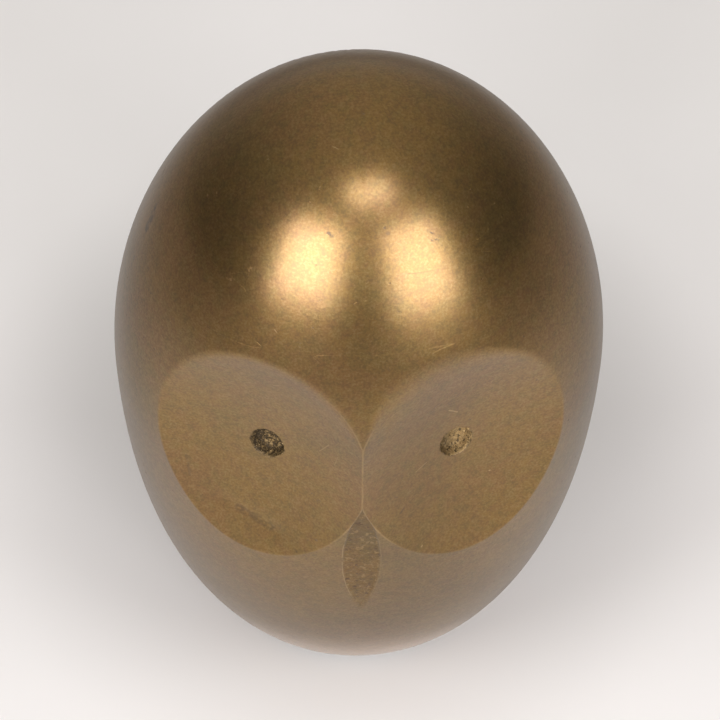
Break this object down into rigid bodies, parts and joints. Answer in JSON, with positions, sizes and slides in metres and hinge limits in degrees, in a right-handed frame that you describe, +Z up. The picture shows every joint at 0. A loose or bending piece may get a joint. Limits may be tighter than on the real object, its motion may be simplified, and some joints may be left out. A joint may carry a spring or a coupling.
{
  "type": "owl figurine",
  "caption": "Upright egg-shaped bronze owl: two dished eye faces meeting in a ridge, a rough pit in each, a shallow leaf-shaped beak, hollow inside, closed by a disc and standing on felt.",
  "frame": {"origin": "middle of the felt pad's underside, on the surface that the owl stands on", "axes": "+Z up along the egg's height, -Y is where the owl looks, +X to the right of someone who faces the owl"},
  "size_m": [0.06, 0.0504, 0.1007],
  "materials": {
    "bronze": "satin, lightly brushed, with a thin brown patina; as-cast and rough in the eye pits and the beak",
    "turned_brass": "turned",
    "felt": "pressed wool felt"
  },
  "bodies": {
    "root": {"body_casting": "bronze", "base_disc": "turned_brass", "felt_pad": "felt"}
  },
  "joints": []
}
